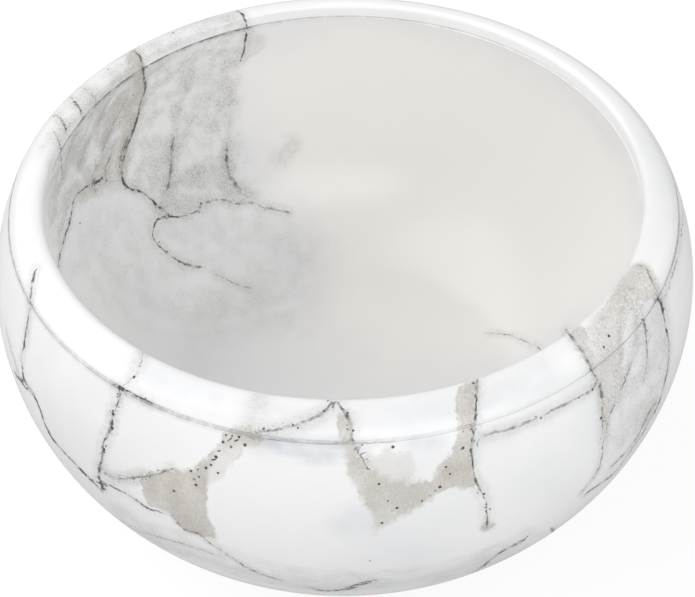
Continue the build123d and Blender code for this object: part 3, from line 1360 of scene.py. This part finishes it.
@dataclass(frozen=True)
class HiddenMarks(MarkSet):
    """Marks of the sides that the photograph doesn't show, which carry on those that it does."""

    back_crack_a: Mark = Crack((
        (110, 52), (112, 46), (109, 40), (111, 32), (106, 24), (107, 16), (101, 8),
    ), Side.OUTSIDE, width=0.22, dark=0.6, halo=0.45)
    back_crack_b: Mark = Crack((
        (138, 52), (142, 45), (139, 37), (145, 29), (141, 21), (147, 12),
    ), Side.OUTSIDE, width=0.26, dark=0.7, halo=0.5)
    back_crack_link: Mark = Crack((
        (110, 33), (119, 31), (129, 27), (141, 21),
    ), Side.OUTSIDE, width=0.16, dark=0.4, halo=0.35)
    back_band_outside: Mark = Patch((
        (134, 52), (143, 52), (146, 44), (143, 36), (149, 29), (142, 24), (138, 32), (137, 42),
    ), Side.OUTSIDE, tone=0.6, fade=0.8)
    back_triangle: Mark = Patch((
        (66, 30), (80, 35), (93, 30), (87, 20), (76, 13), (69, 20),
    ), Side.OUTSIDE, tone=0.7, fade=0.5)
    back_triangle_edge: Mark = Crack((
        (57, 40), (64, 32), (68, 22), (76, 13), (84, 7),
    ), Side.OUTSIDE, width=0.22, dark=0.6, halo=0.5)
    back_right_crack: Mark = Crack((
        (60, 52), (56, 45), (57, 40), (48, 32), (38, 26), (27, 23), (15, 25), (4, 20),
    ), Side.OUTSIDE, width=0.2, dark=0.5, halo=0.4)
    back_right_veil: Mark = Veil((
        (22, 50), (17, 42), (19, 34), (15, 25), (9, 14),
    ), Side.OUTSIDE, width=1.1, strength=0.4)
    left_side_crack: Mark = Crack((
        (172, 50), (168, 42), (172, 33), (165, 24), (168, 12),
    ), Side.OUTSIDE, width=0.2, dark=0.5, halo=0.4)
    left_side_veil: Mark = Veil((
        (185, 30), (176, 26), (165, 24), (154, 27), (146, 29),
    ), Side.OUTSIDE, width=1.0, strength=0.35)
    front_inner_band: Mark = Patch((
        (290, 52), (297, 52), (298, 44), (295, 36), (289, 40),
    ), Side.INSIDE, tone=0.55, fade=0.8)
    front_inner_band_edge: Mark = Crack((
        (297, 52), (298, 44), (295, 35), (297, 26), (293, 16),
    ), Side.INSIDE, width=0.22, dark=0.5, halo=0.5)
    front_inner_arch: Mark = Crack((
        (268, 52), (270, 45), (265, 36), (269, 27), (263, 18),
    ), Side.INSIDE, width=0.2, dark=0.5, halo=0.4)
    front_inner_left: Mark = Crack((
        (238, 52), (240, 44), (236, 35), (242, 26), (238, 17),
    ), Side.INSIDE, width=0.18, dark=0.4, halo=0.4)
    right_inner_mass: Mark = Patch((
        (318, 52), (336, 52), (333, 45), (328, 38), (324, 42),
    ), Side.INSIDE, tone=0.5, fade=0.9)
    under_crack: Mark = Crack((
        (-24, 6), (-14, 3), (-5, -3), (4, -2), (12, -8), (23, -10),
    ), Side.UNDERSIDE, width=0.22, dark=0.55, halo=0.5)
    under_branch: Mark = Crack((
        (-5, -3), (-3, 6), (3, 13), (1, 24),
    ), Side.UNDERSIDE, width=0.18, dark=0.4, halo=0.4)
    under_veil: Mark = Veil((
        (-20, -14), (-9, -12), (2, -17), (10, -22),
    ), Side.UNDERSIDE, width=1.4, strength=0.35)


@dataclass
class StoneMarks:
    """Works out, at each point of the bowl, what the marble's finish reads from the mesh."""

    bowl: bpy.types.Object
    section: BowlSection
    view: PhotoView
    far: float = 9.0
    reach: float = 3.2
    jump: float = 4.0
    photo_step: float = 3.5
    place_step: float = 0.6
    area_reach: float = 8.0
    over_lip: float = 30.0
    stretch: int = 10
    same_way: float = 0.3
    shortest: float = 1e-9
    crease_width: float = 0.3
    dot_least_share: float = 0.7
    dot_spread_share: float = 0.6
    golden_share: float = 0.618
    bare_crack: tuple[float, float, float] = (9.0, 9.0, 0.1)
    bare_patch: tuple[float, float, float] = (-9.0, 0.0, 0.5)
    bare_dot: tuple[float, float, float] = (9.0, 0.2, 0.0)

    def __post_init__(self) -> None:
        """Read the mesh, and start with a clean stone."""
        mesh = self.bowl.data
        count = len(mesh.vertices)
        self.points = np.zeros((count, 3))
        self.normals = np.zeros((count, 3))
        mesh.vertices.foreach_get("co", self.points.ravel())
        mesh.vertices.foreach_get("normal", self.normals.ravel())
        self.points /= MM
        self.turns = np.arctan2(self.points[:, 1], self.points[:, 0])
        self.radii = np.hypot(self.points[:, 0], self.points[:, 1])
        self.arcs = self.section.arc_at(self.points)
        faces = [tuple(face.vertices) for face in mesh.polygons]
        self.surface = BVHTree.FromPolygons([tuple(v.co) for v in mesh.vertices], faces)
        self.crack_line = np.tile(self.bare_crack, (count, 1))
        self.crack_tone = np.zeros((count, 3))
        self.veils_and_shade = np.zeros((count, 3))
        self.taupe_patch = np.tile(self.bare_patch, (count, 1))
        self.crease = np.zeros(count)
        self.dot_offset = np.tile((self.far, 0.0, 0.0), (DOT_LAYERS, count, 1))
        self.dot_size = np.tile(self.bare_dot, (DOT_LAYERS, count, 1))

    def sight(self, pair: Pair, side: Side) -> tuple[Vector, Vector]:
        """Work out the line along which a mark's point is found.

        Args:
            pair: The point's two numbers.
            side: How they are read.

        Returns:
            The start, in metres, and the direction.
        """
        if side is Side.PHOTO:
            return self.view.place, self.view.ray(pair)
        if side is Side.UNDERSIDE:
            return Vector((*pair, -self.section.belly_z)) * MM, Vector((0, 0, 1))
        turn = math.radians(pair[0])
        outward = Vector((math.cos(turn), math.sin(turn), 0))
        if side is Side.INSIDE:
            return Vector((0, 0, pair[1])) * MM, outward
        return (outward * 2 * self.section.belly_radius + Vector((0, 0, pair[1]))) * MM, -outward

    def spots(self, mark: Mark, pairs: Sequence[Pair]) -> tuple[np.ndarray, np.ndarray]:
        """Find where the points of a mark lie on the stone.

        Args:
            mark: The mark that they belong to.
            pairs: The points.

        Returns:
            Their places in millimetres, and the surface normals there.
        """
        places, normals = [], []
        for pair in pairs:
            place, normal, _, _ = self.surface.ray_cast(*self.sight(pair, mark.side))
            if place is not None:
                places.append(tuple(place / MM))
                normals.append(tuple(normal))
        return np.array(places), np.array(normals)

    def smooth(self, mark: Mark, closed: bool = False) -> list[Pair]:
        """Join a mark's points by a smooth curve.

        Args:
            mark: The mark.
            closed: Whether the last point joins the first.

        Returns:
            Closely spaced points.
        """
        knots = np.array(mark.points, float)
        ends = (knots[-1:], knots[:2]) if closed else (knots[:1], knots[-1:])
        padded = np.concatenate((ends[0], knots, ends[1]))
        step = self.photo_step if mark.side is Side.PHOTO else self.place_step
        curve = []
        for before, start, end, after in zip(padded, padded[1:], padded[2:], padded[3:]):
            count = max(1, math.ceil(np.linalg.norm(end - start) / step))
            for share in np.arange(count)[:, None] / count:
                bend = (2 * before - 5 * start + 4 * end - after) * share**2
                twist = (3 * start - before - 3 * end + after) * share**3
                curve.append(tuple((2 * start + (end - before) * share + bend + twist) / 2))
        return curve if closed else curve + [tuple(knots[-1])]

    def measure(self, mark: Mark) -> tuple[np.ndarray, np.ndarray, np.ndarray]:
        """Measure the stone from a line.

        Args:
            mark: The line.

        Returns:
            The numbers of the mesh points within reach, their signed distance from the line
            and their plain distance.
        """
        places, normals = self.spots(mark, self.smooth(mark))
        signed = np.full(len(self.points), self.far)
        for first in range(0, len(places) - 1, self.stretch):
            part = slice(first, first + self.stretch + 1)
            near, found = self.measure_stretch(places[part], normals[part])
            closer = np.abs(found) < np.abs(signed[near])
            signed[near[closer]] = found[closer]
        near = np.flatnonzero(np.abs(signed) < self.reach)
        return near, signed[near], np.abs(signed[near])

    def measure_stretch(self, places: np.ndarray, normals: np.ndarray) -> tuple[np.ndarray, np.ndarray]:
        """Measure the stone from a short stretch of a line.

        Args:
            places: Places along the stretch.
            normals: The surface normals there.

        Returns:
            The numbers of the mesh points nearby, and their signed distance.
        """
        starts, runs = places[:-1], np.diff(places, axis=0)
        lengths = np.linalg.norm(runs, axis=1)
        joined = (lengths < self.jump) & (lengths > 0)
        starts, runs, lengths, facing = starts[joined], runs[joined], lengths[joined], normals[:-1][joined]
        if not len(starts):
            return np.array([], int), np.array([])
        low, high = places.min(0) - self.reach, places.max(0) + self.reach
        near = np.flatnonzero(((self.points > low) & (self.points < high)).all(1))
        away = self.points[near][:, None] - starts
        share = np.clip((away * runs).sum(-1) / lengths**2, 0, 1)
        offset = away - share[..., None] * runs
        gap = np.linalg.norm(offset, axis=-1)
        gap = np.where(self.normals[near] @ facing.T > self.same_way, gap, self.far)
        nearest = gap.argmin(1)
        rows = np.arange(len(near))
        beside = np.cross(facing, runs)[nearest]
        sign = np.where((offset[rows, nearest] * beside).sum(-1) < 0, -1, 1)
        return near, sign * gap[rows, nearest]

    def crack(self, mark: Crack) -> None:
        """Add a crack.

        Args:
            mark: The crack.
        """
        near, signed, distance = self.measure(mark)
        closer = distance < self.crack_line[near, 1]
        near, signed, distance = near[closer], signed[closer], distance[closer]
        self.crack_line[near] = np.stack((signed, distance, np.full(len(near), mark.width / 2)), -1)
        self.crack_tone[near, :2] = (mark.dark, mark.halo)

    def veiled(self, mark: Veil) -> None:
        """Add a soft vein.

        Args:
            mark: The vein.
        """
        near, _, distance = self.measure(mark)
        strength = mark.strength * np.exp(-((distance / mark.width) ** 2))
        part = int(mark.cool)
        self.veils_and_shade[near, part] = np.maximum(self.veils_and_shade[near, part], strength)

    def hazed(self, mark: Haze) -> None:
        """Add a wide area.

        Args:
            mark: The area.
        """
        near, signed = self.measure_area(*self.spread(mark, mark.points))
        share = np.clip((signed + mark.fade) / (2 * mark.fade), 0, 1)
        strength = mark.strength * share**2 * (3 - 2 * share)
        # The warm channel carries painted light; the grey channel carries some painted shade.
        held = self.crack_tone if mark.cream_and_light else self.veils_and_shade
        held[near, 2] = np.maximum(held[near, 2], strength)

    def patch(self, mark: Patch) -> None:
        """Add a patch.

        Args:
            mark: The patch.
        """
        turns, arcs = self.spread(mark, self.smooth(mark, closed=True))
        kept = np.abs(arcs - np.median(arcs)) < self.over_lip
        near, signed = self.measure_area(turns[kept], arcs[kept])
        better = signed > self.taupe_patch[near, 0]
        chosen = near[better]
        self.taupe_patch[chosen, 0] = signed[better]
        self.taupe_patch[chosen, 1:] = (mark.tone, mark.fade)

    def spread(self, mark: Mark, pairs: Sequence[Pair]) -> tuple[np.ndarray, np.ndarray]:
        """Return how far round and how far along the section the points of an outline lie."""
        places, _ = self.spots(mark, pairs)
        return np.arctan2(places[:, 1], places[:, 0]), self.section.arc_at(places)

    def measure_area(self, turns: np.ndarray, arcs: np.ndarray) -> tuple[np.ndarray, np.ndarray]:
        """Measure the stone from the edge of an area, over the unrolled surface.

        Args:
            turns: Angle round the axis of each point of the outline.
            arcs: Distance along the section of each point of the outline.

        Returns:
            The numbers of the mesh points nearby, and how far inside the edge they are.
        """
        middle = math.atan2(np.sin(turns).mean(), np.cos(turns).mean())
        turns = np.remainder(turns - middle + math.pi, 2 * math.pi) - math.pi
        own = np.remainder(self.turns - middle + math.pi, 2 * math.pi) - math.pi
        margin = self.area_reach / self.section.lip_inner_radius
        near = np.flatnonzero(
            (own > turns.min() - margin) & (own < turns.max() + margin)
            & (self.arcs > arcs.min() - self.area_reach) & (self.arcs < arcs.max() + self.area_reach)
        )
        across = (turns - own[near, None]) * self.radii[near, None]
        along = arcs - self.arcs[near, None]
        corners = np.stack((across, along), -1)
        runs = np.roll(corners, -1, 1) - corners
        lengths = np.maximum((runs**2).sum(-1), self.shortest)
        share = np.clip(-(corners * runs).sum(-1) / lengths, 0, 1)
        gap = np.linalg.norm(corners + share[..., None] * runs, axis=-1).min(1)
        after = np.roll(along, -1, 1)
        crosses = (along > 0) != (after > 0)
        slope = np.where(crosses, after - along, 1.0)
        at = across - along * runs[..., 0] / slope
        within = ((crosses & (at > 0)).sum(1) % 2).astype(bool)
        return near, np.where(within, gap, -gap)

    def dots(self, mark: Dots) -> None:
        """Add black dots of uneven size, each in the layer that has the most room.

        Args:
            mark: The dots.
        """
        places, _ = self.spots(mark, mark.points)
        for number, place in enumerate(places):
            offset = self.points - place
            distance = np.linalg.norm(offset, axis=1)
            layer = int(self.dot_size[:, distance.argmin(), 0].argmax())
            size = self.dot_size[layer]
            near = np.flatnonzero(distance < np.minimum(self.reach / 2, size[:, 0]))
            self.dot_offset[layer, near] = offset[near]
            size[near, 0] = distance[near]
            spread = self.dot_spread_share * (number * self.golden_share % 1)
            size[near, 1] = mark.radius * (self.dot_least_share + spread)

    def creased(self, mark: Crease) -> None:
        """Add the painted shade in one of the two fine lines.

        Args:
            mark: The painted shade.
        """
        section = self.section
        half = section.line_depth / 2
        low = section.line_z if mark.inner else section.line_z - half
        radius = section.lip_inner_radius + 2 * half if mark.inner else section.lip_outer_radius - half
        distance = np.hypot(self.radii - radius, self.points[:, 2] - low)
        turns, strengths = np.array(mark.strengths).T
        strength = np.interp(np.degrees(self.turns) % 360, turns, strengths)
        self.crease = np.maximum(self.crease, strength * np.exp(-((distance / self.crease_width) ** 2)))

    def draw(self, marks: Sequence[Mark | Crease]) -> None:
        """Add each mark and store the result on the mesh.

        Args:
            marks: The marks, in their order.
        """
        ways = {
            Crack: self.crack,
            Veil: self.veiled,
            Haze: self.hazed,
            Patch: self.patch,
            Dots: self.dots,
            Crease: self.creased,
        }
        for mark in marks:
            ways[type(mark)](mark)
        held = {name: getattr(self, name) for name in ("crack_line", "crack_tone", "taupe_patch", "veils_and_shade")}
        for layer in range(DOT_LAYERS):
            held[f"dot_offset_{layer}"] = self.dot_offset[layer]
            held[f"dot_size_{layer}"] = self.dot_size[layer]
        for name, values in held.items():
            attribute = self.bowl.data.attributes.new(name, "FLOAT_VECTOR", "POINT")
            attribute.data.foreach_set("vector", values.astype(np.float32).ravel())
        attribute = self.bowl.data.attributes.new("crease", "FLOAT", "POINT")
        attribute.data.foreach_set("value", self.crease.astype(np.float32))


@dataclass
class MarbleBowl:
    """The bowl, turned from one block of marble."""

    section: BowlSection
    lathe: Lathe
    finish: bpy.types.Material
    view: PhotoView
    marks: tuple[MarkSet, ...] = (FrontMarks(), HollowMarks(), DotMarks(), CreaseShadeMarks(), HiddenMarks())
    segments: int = 460

    def build(self) -> bpy.types.Object:
        """Turn the bowl and draw its veins, painted shade and painted light.

        Returns:
            The bowl.
        """
        rings = self.section.rings * MM
        bowl = self.lathe.turn("turned_bowl", rings, self.segments, Vector((0, 0, 0)), self.finish)
        marks = [mark for group in self.marks for mark in group.listed()]
        StoneMarks(bowl, self.section, self.view).draw(marks)
        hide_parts("marble_bowl")
        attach(bowl, ROOT)
        return bowl


@dataclass
class Bumpers:
    """The four rubber bumpers under the base, and the adhesive discs that hold them."""

    lathe: Lathe
    rubber: bpy.types.Material
    film: bpy.types.Material
    count: int = 4
    edge_radius: float = 0.4 * MM
    edge_steps: int = 6
    segments: int = 64

    def section(self, radius: float, height: float) -> np.ndarray:
        """Trace a bumper, with its lower edge rolled.

        Args:
            radius: Radius of the bumper.
            height: Height of the bumper.

        Returns:
            Radius and height of each point, from axis to axis.
        """
        turns = np.linspace(-math.pi / 2, 0, self.edge_steps + 1)
        roll = np.stack((np.cos(turns), np.sin(turns)), -1) * self.edge_radius
        roll += (radius - self.edge_radius, self.edge_radius)
        return np.concatenate(([(0, 0)], roll, [(radius, height), (0, height)]))

    def build(self) -> list[bpy.types.Object]:
        """Mould each bumper and dress its disc.

        Returns:
            The bumpers.
        """
        made = []
        for number in range(1, self.count + 1):
            low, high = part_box(f"bumper_{number}")
            centre = Vector(((low.x + high.x) / 2, (low.y + high.y) / 2, low.z))
            outline = self.section((high.x - low.x) / 2, high.z - low.z)
            name = f"moulded_bumper_{number}"
            piece = self.lathe.turn(name, outline, self.segments, centre, self.rubber)
            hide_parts(f"bumper_{number}")
            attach(piece, ROOT)
            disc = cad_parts[f"adhesive_disc_{number}"]
            disc.data.materials.clear()
            disc.data.materials.append(self.film)
            made.append(piece)
        return made


@dataclass(frozen=True)
class Lamp:
    """A soft lamp that looks at the dish, by degrees round and up, metres and watts."""

    name: str
    turn: float
    rise: float
    distance: float
    width: float
    height: float
    power: float
    colour: Colour = WHITE

    def hang(self) -> None:
        """Add the lamp to the scene."""
        light = bpy.data.lights.new(self.name, "AREA")
        light.shape = "RECTANGLE"
        light.size, light.size_y = self.width, self.height
        light.energy = self.power
        light.color = self.colour
        turn, rise = math.radians(self.turn), math.radians(self.rise)
        outward = Vector((math.cos(turn) * math.cos(rise), math.sin(turn) * math.cos(rise), math.sin(rise)))
        lamp = bpy.data.objects.new(self.name, light)
        lamp.location = outward * self.distance
        lamp.rotation_euler = outward.to_track_quat("Z", "Y").to_euler()
        lamp.visible_camera = False
        bpy.context.scene.collection.objects.link(lamp)


@dataclass
class Studio:
    """A white room: a pale floor, soft lamps and an even white world."""

    floor_radius: float = 4.0
    floor_corners: int = 64
    floor_colour: Colour = (0.50, 0.50, 0.50)
    floor_glow: float = 1.34
    floor_lift: float = 0.62
    mirrored_lift: float = 0.12
    world_colour: Colour = (0.985, 0.992, 1.0)
    world_strength: float = 0.35
    lamps: tuple[Lamp, ...] = (
        Lamp("key_lamp", 168.0, 43.0, 0.9, 1.3, 1.3, power=8.1, colour=(1.0, 0.985, 0.97)),
        Lamp("front_lamp", -77.0, 24.0, 1.1, 1.3, 0.9, power=7.1),
        Lamp("right_lamp", 5.0, 38.0, 1.0, 0.8, 0.8, power=2.4),
    )

    def seen(self, wire: Wiring, mirrored_share: float = 1.0) -> Any:
        """Wire a mask of the rays that look at the background.

        Args:
            wire: The material's tree.
            mirrored_share: The mask's value for rays that were mirrored or let through.

        Returns:
            The mask's socket.
        """
        path = wire.add("ShaderNodeLightPath").outputs
        mirrored = wire.math("MAXIMUM", path["Is Glossy Ray"], path["Is Transmission Ray"])
        return wire.math("MAXIMUM", path["Is Camera Ray"], wire.times(mirrored, mirrored_share))

    def world(self) -> None:
        """Light the room evenly, and show it white."""
        world = bpy.data.worlds.new("white_room")
        world.use_nodes = True
        bpy.context.scene.world = world
        wire = Wiring(world.node_tree)
        world.node_tree.nodes.clear()
        inputs = {"Color": self.world_colour, "Strength": self.world_strength}
        even = wire.add("ShaderNodeBackground", inputs).outputs[0]
        shown = wire.add("ShaderNodeBackground", {"Color": WHITE, "Strength": 1.0}).outputs[0]
        mixed = wire.add("ShaderNodeMixShader", {0: self.seen(wire), 1: even, 2: shown}).outputs[0]
        wire.add("ShaderNodeOutputWorld", {"Surface": mixed})

    def floor(self) -> None:
        """Lay the floor, white to the camera but for the dish's shadow."""
        material = bpy.data.materials.new("pale_floor")
        material.use_nodes = True
        wire = Wiring(material.node_tree)
        material.node_tree.nodes.clear()
        matt = wire.add("ShaderNodeBsdfDiffuse", {"Color": self.floor_colour}).outputs[0]
        inputs = {"Color": WHITE, "Strength": self.floor_glow}
        glow = wire.add("ShaderNodeEmission", inputs).outputs[0]
        share = self.mirrored_lift / self.floor_lift
        lift = wire.times(self.seen(wire, share), self.floor_lift)
        paper = wire.add("ShaderNodeMixShader", {0: lift, 1: matt, 2: glow}).outputs[0]
        clear = wire.add("ShaderNodeBsdfTransparent").outputs[0]
        below = wire.add("ShaderNodeNewGeometry").outputs["Backfacing"]
        sheet = wire.add("ShaderNodeMixShader", {0: below, 1: paper, 2: clear}).outputs[0]
        wire.add("ShaderNodeOutputMaterial", {"Surface": sheet})
        bpy.ops.mesh.primitive_circle_add(
            vertices=self.floor_corners, radius=self.floor_radius, fill_type="NGON"
        )
        floor = bpy.context.object
        floor.name = "pale_floor"
        floor.data.materials.append(material)

    def build(self) -> None:
        """Set up the room."""
        self.world()
        self.floor()
        for lamp in self.lamps:
            lamp.hang()
        bpy.context.scene.view_settings.view_transform = "Standard"


def main() -> None:
    """Build the camera, the room and each piece, and report the pieces."""
    logging.basicConfig(level=logging.INFO, format="%(name)s: %(message)s")
    view = PhotoView()
    view.build()
    Studio().build()
    grain = StoneGrain().build()
    lathe = Lathe()
    bowl = MarbleBowl(BowlSection(), lathe, MarbleFinish().material(grain), view).build()
    log.info("%s: %d faces", bowl.name, len(bowl.data.polygons))
    for piece in Bumpers(lathe, RUBBER.material(grain), FILM.material(grain)).build():
        log.info("%s: %d faces", piece.name, len(piece.data.polygons))


if __name__ == "__main__":
    main()
